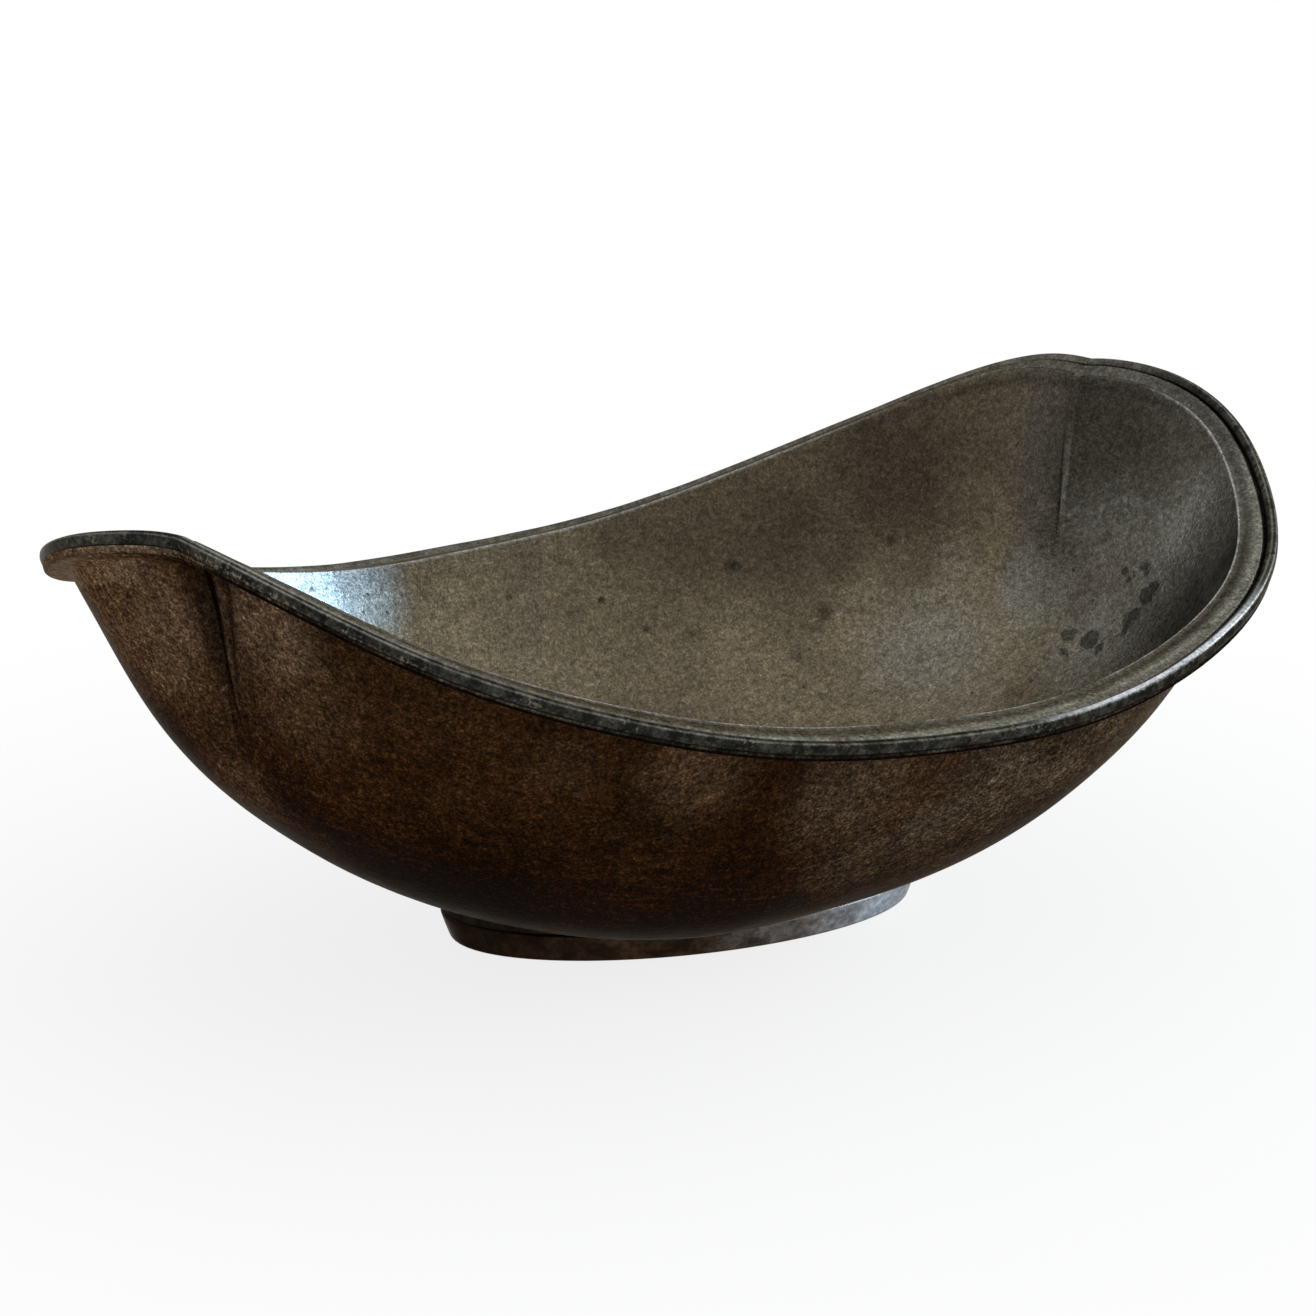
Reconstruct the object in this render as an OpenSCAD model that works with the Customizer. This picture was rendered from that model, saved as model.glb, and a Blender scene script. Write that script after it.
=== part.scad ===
// Boat-shaped pewter bowl on an oval foot.
// Two like lips make the rim: each runs from a crease at one end, along a side and round the
// other end, so the bowl looks much the same when it is turned half way round.
// Millimetres, +Z up, origin on the table under the middle of the foot, +X along the bowl.

/* [Bowl] */
// Length over the rim, mm
bowl_length = 199; // [180:1:220]
// Wall thickness of the bowl, mm
wall = 1.8; // [1.2:0.1:2.6]
// Height of the outside bottom above the table, mm
bottom_z = 4.6; // [4.6:0.1:8]
// Turn of the crease at the -X end away from the long axis, degrees
crease_turn_left = 22.3; // [14:0.1:30]
// Turn of the crease at the +X end away from the long axis, degrees
crease_turn_right = 21; // [14:0.1:30]
// Lean of the -X crease below the rim, degrees of turn round the bowl
crease_lean_left = 2.4; // [0:0.1:4]
// Lean of the +X crease below the rim, degrees of turn round the bowl
crease_lean_right = 3.1; // [0:0.1:4]
// How far the rim's start stands proud at a crease, mm
crease_proud = 1.3; // [0:0.1:3]
// Dip of the rim in the notch at a crease, mm
notch_dip = 1.3; // [0:0.1:3]
// Share of the bowl's depth, from the middle, where the creases have died out
crease_end = 0.78; // [0.5:0.02:0.84]

/* [Rim wire] */
// Height of the rim wire, mm
wire_h = 2.05; // [1.6:0.05:3]
// Width of the rim wire, mm
wire_w = 1.95; // [1.5:0.05:3]

/* [Foot] */
// Length of the foot at the table, mm
foot_length = 77.4; // [60:0.2:90]
// Width of the foot at the table, mm
foot_width = 37; // [28:0.2:50]
// Height of the foot ring, mm
foot_h = 5; // [4.6:0.1:5.2]
// Wall of the foot ring, mm
foot_wall = 2.2; // [1.6:0.1:3]
// Flare of the foot ring towards its top, mm
foot_flare = 1.2; // [0:0.1:1.4]

/* [Node to show] */
// Node to build, or "all"

/* [Hidden] */
pewter_body = [0.42, 0.40, 0.36];
pewter_wire = [0.30, 0.30, 0.29];
pewter_foot = [0.47, 0.46, 0.44];
solder_grey = [0.55, 0.56, 0.57];

// scale from the 199 mm pattern the lists below are written for
k = bowl_length / 199;
// columns in one lip, crease to crease; the whole round is two lips
n_lip = 52;
n_col = 2 * n_lip;
// the columns crowd towards the creases by this share
crowd = 0.6;

// One lip, crease to crease: spline controls of the rim wire's outer top edge.
// radius in plan from the bowl's middle
lip_r = [93.5, 91.7, 91.9, 89, 81.3, 68.6, 61.4, 62.6, 72.1, 90.8, 97.6, 101.3, 96.9, 89.7, 88.7];
// height above the table
lip_z = [82.1, 80.1, 79.1, 74.8, 65.1, 55.6, 49.3, 47.6, 46.7, 56.5, 64.6, 74.9, 79, 79.7, 76];
// width of the flat flange between the rim's edge and the bowl's wall
lip_w = [3.7, 5.1, 5.1, 6.5, 8.1, 3.7, -0.8];
// fall of the flange from the rim's edge to the wall; below 0 it rises
lip_d = [5.3, 2.2, -0.2, -0.9, 0.7, 3.1, 3.8];
// how quickly the proud start of a lip rounds off, as a share of the lip
notch_run = 0.03;

// Lower bowl, where the creases have died out: plain oval and its height at the flange
oval_mean = 76.5;
oval_long = 21.3;
oval_turn = 8.4;
oval_square = 2;
oval_square_turn = -5.6;
brim_mean = 57.1;
brim_rise = 12;
brim_turn = 17.7;
// rise of the wall from the middle out: power and share of the steep part, at sides and ends
pow_side = 3.16;
pow_end = 2.61;
steep_side = 0.26;
steep_end = 0.16;
// a crease leans the wall this far to each side of it, degrees, between these shares of the
// way out
lean_reach = 22;
lean_from = 0.5;
lean_full = 0.8;
lean_top = 0.88;

// ---- curves -------------------------------------------------------------------------------
function clamp01(x) = min(1, max(0, x));
function ease(x) = clamp01(x) * clamp01(x) * (3 - 2 * clamp01(x));
function basis(t) = [pow(1 - t, 3), 3 * t * t * t - 6 * t * t + 4,
                     1 + 3 * t + 3 * t * t - 3 * t * t * t, t * t * t] / 6;
function spline(c, u) =
    let (x = clamp01(u) * (len(c) - 3), i = min(floor(x), len(c) - 4), b = basis(x - i))
    b[0] * c[i] + b[1] * c[i + 1] + b[2] * c[i + 2] + b[3] * c[i + 3];
function oval(a, b, th) = a * b / sqrt(pow(b * cos(th), 2) + pow(a * sin(th), 2));
// Nearness of one plan angle to another, 1 on it and falling away to both sides
function nearness(a, b) = exp(-pow(((a - b + 540) % 360 - 180) / lean_reach, 2));
function oval_r(th) = k * (oval_mean + oval_long * cos(2 * (th - oval_turn))
                           + oval_square * cos(4 * (th - oval_square_turn)));
function oval_z(th) = k * (brim_mean + brim_rise * cos(2 * (th - brim_turn)));

// One column of the bowl: [plan angle, rim radius, rim height, flange width, flange fall,
//                          lean, power, steep share]
left = crease_turn_left - 180;
right = crease_turn_right;
function column(i) =
    let (u = (i % n_lip) / n_lip,
         s = u - crowd * sin(360 * u) / (2 * PI),
         th = i < n_lip ? left + (right - left) * s : right + (left + 360 - right) * s,
         start = exp(-s / notch_run),
         end = 0.5 + 0.5 * cos(2 * th))
    [th,
     k * (spline(lip_r, u) - crease_proud * start),
     k * (spline(lip_z, u) - notch_dip * start),
     k * spline(lip_w, s),
     k * spline(lip_d, s),
     crease_lean_left * nearness(th, left) + crease_lean_right * nearness(th, right),
     pow_side + (pow_end - pow_side) * end,
     steep_side + (steep_end - steep_side) * end];
COLS = [for (i = [0 : n_col - 1]) column(i)];
function col(i) = COLS[i % n_col];

// Where the wall meets the flange, outside, as [radius, height]
brim_out = 1.45 * wall / 1.8;
brim_drop = wall;
function brim_r(c) = c[1] - c[3] + brim_out;
function brim_z(c) = c[2] - c[4] - brim_drop;

// Plan angle of the leaning wall at a share of the way out, 0 at the middle, 1 at the flange
function turn_at(c, q) =
    c[0] - c[5] * min(1, (1 - q) / (1 - lean_top)) * ease((q - lean_from) / (lean_full - lean_from));
// Outside of the wall at a share of the way out, as [radius, height]
function profile(c, q) =
    let (th = turn_at(c, q),
         f = ease((q - crease_end) / (1 - crease_end)),
         g = (1 - c[7]) * pow(q, c[6]) + c[7] * pow(q, c[6] + 5))
    [q * (f * brim_r(c) + (1 - f) * oval_r(th)),
     bottom_z + (f * brim_z(c) + (1 - f) * oval_z(th) - bottom_z) * g];
// The same as [radius, height, plan angle]
function wall_at(c, q) = concat(profile(c, q), turn_at(c, q));
// Inside of the wall: the outside moved in by the wall thickness, square to the wall
function inside_at(c, q) =
    let (d = profile(c, q + 0.004) - profile(c, q - 0.004), m = profile(c, q),
         in = [-d[1], d[0]] * wall / norm(d))
    concat(m + in, turn_at(c, q));
// Share of the way out at which the wall stands over an oval of the foot
function over_foot(c, grow) =
    oval(foot_length / 2 + grow, foot_width / 2 + grow, c[0]) / oval_r(c[0]);

// ---- sections, as [radius, height] or [radius, height, plan angle] ----------------------
// seat of the rim wire on the flange: outer and inner edge
function seat_out(c) = [c[1] - 0.3, c[2] - wire_h];
function seat_in(c) = [c[1] - wire_w, c[2] - 0.62 * wire_h];
// grow values of the solder's contact with the bowl, inner and outer
foot_in = foot_flare - foot_wall;
foot_out = foot_flare;
shares_low = [0.35, 0.75];
shares_wall = [0.12, 0.24, 0.36, 0.48, 0.58, 0.67, 0.75, 0.82, 0.88, 0.94, 1];
function bowl_section(c) =
    let (qi = over_foot(c, foot_in), qo = over_foot(c, foot_out))
    concat(
        [for (s = shares_low) wall_at(c, s * qi)],
        [wall_at(c, qi), wall_at(c, qo)],
        [for (s = shares_wall) wall_at(c, qo + (1 - qo) * s)],
        [// under the flange, out to its rounded edge
         [c[1] - 0.45 * (c[3] - brim_out) - 0.5, c[2] - wire_h - 0.4 - 0.5 * c[4]],
         [c[1] - 1.3, c[2] - wire_h - 0.85 - 0.12 * c[4]],
         [c[1] - 0.55, c[2] - wire_h - 0.6 - 0.08 * c[4]],
         seat_out(c),
         seat_in(c),
         // groove beside the wire, then the top of the flange and the low ridge at the wall
         [c[1] - wire_w - 0.25, c[2] - 0.95 - 0.12 * c[4]],
         [c[1] - wire_w - 0.8, c[2] - 0.4 - 0.2 * c[4]],
         [c[1] - 0.35 * wire_w - 0.65 * c[3], c[2] - 0.25 - 0.6 * c[4]],
         [c[1] - 0.88 * c[3], c[2] - 0.3 - 0.88 * c[4]],
         [c[1] - c[3], c[2] - c[4]]],
        [for (s = [0.97, 0.92, 0.86, 0.79, 0.71, 0.62, 0.52, 0.4, 0.27, 0.13])
            inside_at(c, qo + (1 - qo) * s)],
        [for (s = [1, 0.66, 0.33]) inside_at(c, qo * s)]);

function wire_section(c) =
    [seat_out(c), seat_in(c),
     [c[1] - wire_w, c[2] - 0.38 * wire_h],
     [c[1] - 0.84 * wire_w, c[2] - 0.12 * wire_h],
     [c[1] - 0.56 * wire_w, c[2]],
     [c[1] - 0.28 * wire_w, c[2] - 0.03 * wire_h],
     [c[1] - 0.07 * wire_w, c[2] - 0.16 * wire_h],
     [c[1], c[2] - 0.38 * wire_h],
     [c[1], c[2] - 0.7 * wire_h]];

function foot_pt(c, grow, z) = [oval(foot_length / 2 + grow, foot_width / 2 + grow, c[0]), z];
function ring_section(c) =
    [foot_pt(c, foot_in, foot_h),
     foot_pt(c, foot_flare - 0.35, foot_h),
     foot_pt(c, foot_flare, foot_h - 0.5),
     foot_pt(c, 0.6 * foot_flare, 0.6 * foot_h),
     foot_pt(c, 0, 1),
     foot_pt(c, -0.25, 0.35),
     foot_pt(c, -0.7, 0),
     foot_pt(c, 0.4 - foot_wall, 0),
     foot_pt(c, 0.1 - foot_wall, 0.3)];
function solder_section(c) =
    [wall_at(c, over_foot(c, foot_in)),
     wall_at(c, over_foot(c, foot_out)),
     let (w = wall_at(c, over_foot(c, foot_out)))
         [foot_pt(c, foot_flare - 0.3, 0)[0], 0.5 * (w[1] + foot_h)],
     foot_pt(c, foot_flare - 0.35, foot_h),
     foot_pt(c, foot_in, foot_h)];

// ---- skins ---------------------------------------------------------------------------------
function place(c, p) =
    let (th = len(p) > 2 ? p[2] : c[0])
    [p[0] * cos(th), p[0] * sin(th), p[1]];
function quad(a, b, c, d, out) = out ? [[a, b, c], [a, c, d]] : [[a, c, b], [a, d, c]];

// A closed wall round the bowl, with the bottom's middle points joined on
module bowl_skin(mid_low, mid_high) {
    secs = [for (c = COLS) bowl_section(c)];
    m = len(secs[0]);
    pts = concat([for (i = [0 : n_col - 1]) for (p = secs[i]) place(COLS[i], p)],
                 [[0, 0, mid_low], [0, 0, mid_high]]);
    low = n_col * m;
    fs = [for (i = [0 : n_col - 1]) let (j = (i + 1) % n_col)
              for (r = [0 : m - 2])
                  for (f = quad(i * m + r, i * m + r + 1, j * m + r + 1, j * m + r, true)) f];
    fan_low = [for (i = [0 : n_col - 1]) [low, i * m, ((i + 1) % n_col) * m]];
    fan_high = [for (i = [0 : n_col - 1]) [low + 1, ((i + 1) % n_col) * m + m - 1, i * m + m - 1]];
    polyhedron(pts, concat(fs, fan_low, fan_high), convexity = 8);
}

// A section carried along columns first..last, capped, or closed on itself all the way round
module loft(secs, cols, closed, out) {
    n = len(secs);
    m = len(secs[0]);
    pts = [for (i = [0 : n - 1]) for (p = secs[i]) place(cols[i], p)];
    last = closed ? n - 1 : n - 2;
    fs = [for (i = [0 : last]) let (j = (i + 1) % n)
              for (r = [0 : m - 1]) let (q = (r + 1) % m)
                  for (f = quad(i * m + r, i * m + q, j * m + q, j * m + r, out)) f];
    cap_a = [for (r = [0 : m - 1]) r];
    cap_b = [for (r = [0 : m - 1]) (n - 1) * m + m - 1 - r];
    rev_a = [for (r = [0 : m - 1]) m - 1 - r];
    rev_b = [for (r = [0 : m - 1]) (n - 1) * m + r];
    caps = closed ? [] : (out ? [rev_a, rev_b] : [cap_a, cap_b]);
    polyhedron(pts, concat(fs, caps), convexity = 8);
}

module rim_wire(first) {
    cols = [for (i = [first : first + n_lip]) col(i)];
    loft([for (c = cols) wire_section(c)], cols, false, false);
}

// ---- nodes ---------------------------------------------------------------------------------
// The bowl, raised in one sheet with its flange and two creases
module bowl_body() {
    color(pewter_body) bowl_skin(bottom_z, bottom_z + wall);
}

// Rim wire of the lip that starts at the -X crease and runs along the -Y side
module rim_wire_front() {
    color(pewter_wire) rim_wire(0);
}

// Rim wire of the lip that starts at the +X crease and runs along the +Y side
module rim_wire_back() {
    color(pewter_wire) rim_wire(n_lip);
}

// Solder that beds the foot's flat top against the bowl's rising bottom
module foot_solder() {
    color(solder_grey) loft([for (c = COLS) solder_section(c)], COLS, true, false);
}

// Oval foot ring, open underneath
module foot_ring() {
    color(pewter_foot) loft([for (c = COLS) ring_section(c)], COLS, true, false);
}

bowl_body();
rim_wire_front();
rim_wire_back();
foot_solder();
foot_ring();
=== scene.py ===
"""Boat-shaped pewter bowl on an oval foot ring.

One lip runs from a crease at one end, along a side and round the other end; its twin is the same
lip turned half way round. Every surface is a section in an upright plane through the middle,
carried round by the plan angle, so a point is (radius cos turn, radius sin turn, height).
Lengths are worked out in millimetres and put into the meshes in metres.
"""
import math

import bpy
import numpy as np
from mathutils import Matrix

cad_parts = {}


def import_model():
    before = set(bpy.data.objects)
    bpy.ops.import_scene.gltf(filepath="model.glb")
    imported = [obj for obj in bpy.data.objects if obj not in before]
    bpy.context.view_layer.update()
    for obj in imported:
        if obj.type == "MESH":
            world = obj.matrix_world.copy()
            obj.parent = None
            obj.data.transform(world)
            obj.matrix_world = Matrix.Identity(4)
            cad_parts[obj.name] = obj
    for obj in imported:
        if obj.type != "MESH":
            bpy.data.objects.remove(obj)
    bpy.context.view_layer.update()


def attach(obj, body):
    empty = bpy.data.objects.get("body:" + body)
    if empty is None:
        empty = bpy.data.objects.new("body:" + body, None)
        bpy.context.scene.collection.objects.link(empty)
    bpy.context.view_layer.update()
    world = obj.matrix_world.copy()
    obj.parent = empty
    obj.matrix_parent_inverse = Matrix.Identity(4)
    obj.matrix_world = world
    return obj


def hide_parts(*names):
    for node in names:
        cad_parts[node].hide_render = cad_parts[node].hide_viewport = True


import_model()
root = "root"

# ---- the bowl's own sizes, in mm and degrees ---------------------------------------------------
CREASE_LEFT, CREASE_RIGHT, CROWD, NOTCH_RUN = 22.3 - 180, 21.0, 0.6, 0.03
PROUD, DIP = 1.3, 1.3
LIP_R = [93.5, 91.7, 91.9, 89, 81.3, 68.6, 61.4, 62.6, 72.1, 90.8, 97.6, 101.3, 96.9, 89.7, 88.7]
LIP_Z = [82.1, 80.1, 79.1, 74.8, 65.1, 55.6, 49.3, 47.6, 46.7, 56.5, 64.6, 74.9, 79, 79.7, 76]
LIP_W = [3.7, 5.1, 5.1, 6.5, 8.1, 3.7, -0.8]
LIP_D = [5.3, 2.2, -0.2, -0.9, 0.7, 3.1, 3.8]
OVAL_MEAN, OVAL_LONG, OVAL_TURN, OVAL_SQUARE, SQUARE_TURN = 76.5, 21.3, 8.4, 2.0, -5.6
BRIM_MEAN, BRIM_RISE, BRIM_TURN = 57.1, 12.0, 17.7
LEAN_LEFT, LEAN_RIGHT, LEAN_REACH = 2.4, 3.1, 22.0
WALL, BOTTOM, CREASE_END = 1.8, 4.6, 0.78
BRIM_OUT, BRIM_DROP = 1.45, 1.8
WIRE_H, WIRE_W = 2.05, 1.95
FOOT_A, FOOT_B, FOOT_H, FOOT_WALL, FLARE = 38.7, 18.5, 5.0, 2.2, 1.2
LIP_COLUMNS = 250


def spline(controls, u):
    """Uniform cubic B-spline through the controls, u from 0 to 1 over its whole run."""
    c = np.asarray(controls, float)
    x = np.clip(u, 0, 1) * (len(c) - 3)
    i = np.minimum(x.astype(int), len(c) - 4)
    t = x - i
    return ((1 - t) ** 3 * c[i] + (3 * t**3 - 6 * t**2 + 4) * c[i + 1]
            + (1 + 3 * t + 3 * t**2 - 3 * t**3) * c[i + 2] + t**3 * c[i + 3]) / 6


def ease(x):
    """Smooth step from 0 to 1."""
    x = np.clip(x, 0, 1)
    return x * x * (3 - 2 * x)


def bump_at(x, middle, half):
    """Bell exp(-((x - middle) / half)^2)."""
    return np.exp(-(((x - middle) / half) ** 2))


def nearness(turn, crease):
    """1 on a crease, falling away to both sides of it; both in degrees."""
    return bump_at((turn - crease + 540) % 360 - 180, 0, LEAN_REACH)


def lips(n=LIP_COLUMNS):
    """Both lips' columns: n to a lip, crowded twice towards the creases, each time by
    s = u - crowd sin(2 pi u) / 2 pi."""
    i = np.arange(2 * n)
    crowded = lambda v: v - CROWD * np.sin(2 * np.pi * v) / (2 * np.pi)
    u = crowded((i % n) / n)
    s = crowded(u)
    first = i < n
    turn = np.where(first, CREASE_LEFT + (CREASE_RIGHT - CREASE_LEFT) * s,
                    CREASE_RIGHT + (CREASE_LEFT + 360 - CREASE_RIGHT) * s)
    start, end = np.exp(-s / NOTCH_RUN), 0.5 + 0.5 * np.cos(2 * np.radians(turn))
    r = spline(LIP_R, u) - PROUD * start
    past = np.where(s < 0.5, s, s - 1)
    return {
        "turn": np.radians(turn), "s": s, "past": past * r * np.pi, "r": r,
        "z": spline(LIP_Z, u) - DIP * start,
        "w": spline(LIP_W, s),
        "d": spline(LIP_D, s),
        "lean": np.radians(LEAN_LEFT * nearness(turn, CREASE_LEFT)
                           + LEAN_RIGHT * nearness(turn, CREASE_RIGHT)),
        "power": 3.16 - 0.55 * end,
        "steep": 0.26 - 0.10 * end,
    }


def plain_oval(turn):
    """Radius of the plain oval at the flange's height."""
    return (OVAL_MEAN + OVAL_LONG * np.cos(2 * (turn - math.radians(OVAL_TURN)))
            + OVAL_SQUARE * np.cos(4 * (turn - math.radians(SQUARE_TURN))))


def wall_at(c, q):
    """Outside of the wall at share q of the way out, as radius, height and plan angle: radius q
    times the brim's, height bottom + (brim - bottom) ((1 - m) q^a + m q^(a + 5)); the plain oval
    rules below CREASE_END, and near a crease the wall leans round by c["lean"]."""
    q = np.asarray(q, float)
    q = q if q.ndim == 2 else q[None] + 0 * c["r"][:, None]
    col = lambda v: v[:, None]
    turn = col(c["turn"]) - col(c["lean"]) * np.minimum(1, (1 - q) / 0.12) * ease((q - 0.5) / 0.3)
    f = ease((q - CREASE_END) / (1 - CREASE_END))
    a, m = col(c["power"]), col(c["steep"])
    g = (1 - m) * q**a + m * q ** (a + 5)
    rim_r = col(c["r"] - c["w"] + BRIM_OUT)
    rim_z = col(c["z"] - c["d"] - BRIM_DROP)
    brim = BRIM_MEAN + BRIM_RISE * np.cos(2 * (turn - math.radians(BRIM_TURN)))
    return np.stack([q * (f * rim_r + (1 - f) * plain_oval(turn)),
                     BOTTOM + (f * rim_z + (1 - f) * brim - BOTTOM) * g, turn], -1)


def inside_at(c, q):
    """Inside of the wall: the outside moved in by the wall's thickness, square to it."""
    q = np.asarray(q, float)
    q = q if q.ndim == 2 else q[None] + 0 * c["r"][:, None]
    along = (wall_at(c, q + 0.004) - wall_at(c, q - 0.004))[..., :2]
    along /= np.linalg.norm(along, axis=-1, keepdims=True)
    inside = wall_at(c, q)
    inside[..., 0] -= WALL * along[..., 1]
    inside[..., 1] += WALL * along[..., 0]
    return inside


def oval_radius(grow, turn):
    """Radius of the foot's oval, grown by so many mm, at a plan angle."""
    a, b = FOOT_A + grow, FOOT_B + grow
    return a * b / np.hypot(b * np.cos(turn), a * np.sin(turn))


def soften(points, cuts, steps=6):
    """Rounds each inner corner of a line of points (columns x corners x 3): corner i becomes the
    quadratic curve between the points cuts[i] mm before and after it."""
    out = [points[:, :1]]
    t = np.linspace(0, 1, steps)[None, :, None]
    for i in range(1, points.shape[1] - 1):
        p, a, b = points[:, i:i + 1], points[:, i - 1:i], points[:, i + 1:i + 2]
        la = np.linalg.norm(a - p, axis=2, keepdims=True)
        lb = np.linalg.norm(b - p, axis=2, keepdims=True)
        s = p + (a - p) * np.minimum(cuts[i] / la, 0.48)
        e = p + (b - p) * np.minimum(cuts[i] / lb, 0.48)
        out.append((1 - t) ** 2 * s + 2 * t * (1 - t) * p + t**2 * e)
    out.append(points[:, -1:])
    return np.concatenate(out, 1)


def corners(turn, *rz):
    """Columns x corners x 3 from the plan angles and a list of (radius, height) columns."""
    return np.stack([np.stack([r + 0 * turn, z + 0 * turn, turn], -1) for r, z in rz], 1)


def place(section):
    """Points in metres from a section (columns x rows x radius, height, plan angle)."""
    r, z, turn = section[..., 0], section[..., 1], section[..., 2]
    return np.stack([r * np.cos(turn), r * np.sin(turn), z], -1) / 1000


def grid_faces(n, m, around, across, turn_out):
    """Quads over n columns and m rows, numbered column by column, closed where asked."""
    i = np.arange(n if around else n - 1)[:, None]
    j = np.arange(m if across else m - 1)[None]
    a, b = i * m + j, i * m + (j + 1) % m
    c, d = ((i + 1) % n) * m + (j + 1) % m, ((i + 1) % n) * m + j
    quads = np.stack([a, b, c, d] if turn_out else [a, d, c, b], -1)
    return quads.reshape(-1, 4)


def swell(section, height):
    """Moves a section's points out of the metal by heights in mm, each in its own upright plane:
    the way out is the direction (dr, dz) down the rows turned a quarter, (dz, -dr)."""
    step = np.gradient(section[..., :2], axis=1)
    step /= np.linalg.norm(step, axis=-1, keepdims=True) + 1e-9
    moved = section.copy()
    moved[..., 0] += height * step[..., 1]
    moved[..., 1] -= height * step[..., 0]
    return moved


def make_piece(name, points, quads, fans=(), marks=None):
    """A smooth mesh object from points, an array of quads and lists of longer or shorter faces,
    with each mark stored as a value at every point."""
    flat = points.reshape(-1, 3)
    mesh = bpy.data.meshes.new(name)
    extra = [np.asarray(f) for f in fans]
    loops = np.concatenate([quads.ravel()] + [f.ravel() for f in extra]).astype(np.int32)
    sizes = np.concatenate([np.full(len(quads), 4)] + [np.full(len(f), f.shape[1]) for f in extra])
    mesh.vertices.add(len(flat))
    mesh.vertices.foreach_set("co", flat.ravel().astype(np.float32))
    mesh.loops.add(len(loops))
    mesh.loops.foreach_set("vertex_index", loops)
    mesh.polygons.add(len(sizes))
    mesh.polygons.foreach_set("loop_start", np.r_[0, np.cumsum(sizes)[:-1]].astype(np.int32))
    mesh.polygons.foreach_set("use_smooth", np.ones(len(sizes), bool))
    mesh.update(calc_edges=True)
    mesh.validate()
    for key, value in (marks or {}).items():
        layer = mesh.attributes.new(key, "FLOAT", "POINT")
        layer.data.foreach_set("value", np.asarray(value, np.float32).ravel())
    piece = bpy.data.objects.new(name, mesh)
    bpy.context.scene.collection.objects.link(piece)
    return piece


# ---- the bowl ---------------------------------------------------------------------------------
def flange_section(c):
    """From the wall's outside top, under the flange, round its edge, over the wire's seat and the
    groove, and down the flange's top over its low ridge to the inside of the wall."""
    r, z, w, d = c["r"], c["z"], c["w"], c["d"]
    line = corners(
        c["turn"],
        (r - w + BRIM_OUT, z - d - BRIM_DROP),
        (r - 0.45 * (w - BRIM_OUT) - 0.5, z - WIRE_H - 0.5 - 0.5 * d),
        (r - 1.3, z - WIRE_H - 1.15 - 0.12 * d),
        (r - 0.5, z - WIRE_H - 0.9 - 0.08 * d),
        (r - 0.3, z - WIRE_H),
        (r - WIRE_W, z - 0.62 * WIRE_H),
        (r - WIRE_W - 0.25, z - 0.95 - 0.12 * d),
        (r - WIRE_W - 0.8, z - 0.4 - 0.2 * d),
        (r - 0.35 * WIRE_W - 0.65 * w, z - 0.25 - 0.6 * d),
        (r - 0.88 * w, z - 0.3 - 0.88 * d),
        (r - w, z - d),
    )
    line = np.concatenate([wall_at(c, [0.985]), line, inside_at(c, [0.985])], 1)
    return soften(line, [0, 0.9, 0.8, 0.35, 0.3, 0.05, 0.05, 0.15, 0.35, 0.6, 0.25, 0.25, 0], 6)


def pleats(c, q):
    """Relief of the two creases in mm, and where painted shade darkens them and where painted light
    picks them out, for the outside and then the inside of the wall. Across each runs a valley, a
    ridge beside it and the edge of the next panel; their lines close in on one another downwards and die
    out together."""
    x, q = c["past"][:, None], np.asarray(q)[None]
    rise = np.clip((q - 0.895) / 0.09, 0, 1)
    short = 1 - rise
    live = ease((q - 0.885) / 0.05)
    valley = bump_at(x, 0.9 - 3.2 * short + 4.3 * short**2, 0.35 + 0.8 * rise)
    ridge = bump_at(x, 3.9 - 4.2 * short + 3.0 * short**2, 0.3 + 0.7 * rise)
    seam_line = bump_at(x, 6.4 - 7.5 * short + 4.0 * short**2, 0.3 + 0.5 * rise)
    panel = bump_at(x, 8.2 - 9.2 * short + 4.1 * short**2, 0.4 + 1.0 * rise)
    crease_shade = bump_at(x, 0.2 - 2.6 * short + 4.3 * short**2, 0.5 + 2.0 * rise)
    edge = 6.6 - 7.6 * short + 4.0 * short**2
    fade = (x > edge) * np.exp(-np.maximum(x - edge, 0) / 7) * ease((x - edge) / 0.8)
    # outside: the valley's darkening is painted shade, the light on the ridge and the panel's edge painted
    # light
    outside = (live * (-0.45 * valley + 0.30 * ridge - 0.12 * seam_line + 0.16 * panel),
               live * np.maximum(crease_shade, 0.5 * seam_line),
               live * np.maximum(0.55 * ridge, 0.8 * rise * fade))
    line = 0.5 + 0.9 * np.clip((0.935 - q) / 0.05, 0, 1)
    seam = ease((q - 0.865) / 0.05)
    high = ease((q - 0.95) / 0.03)
    cut, lip = bump_at(x, line, 0.45) * (1 - high), bump_at(x, line - 0.75, 0.2) * (1 - 0.8 * high)
    beyond = (x < line) * np.exp(-np.maximum(line - x, 0) / 9) * (x > -30)
    # inside: the dark line and the darker side beyond it are painted shade, the light on the lip painted
    # light
    inside = (seam * (0.06 * lip - 0.08 * cut),
              seam * np.maximum(0.8 * cut, (0.15 + 0.5 * high) * beyond), seam * 0.55 * lip)
    return outside, inside


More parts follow.
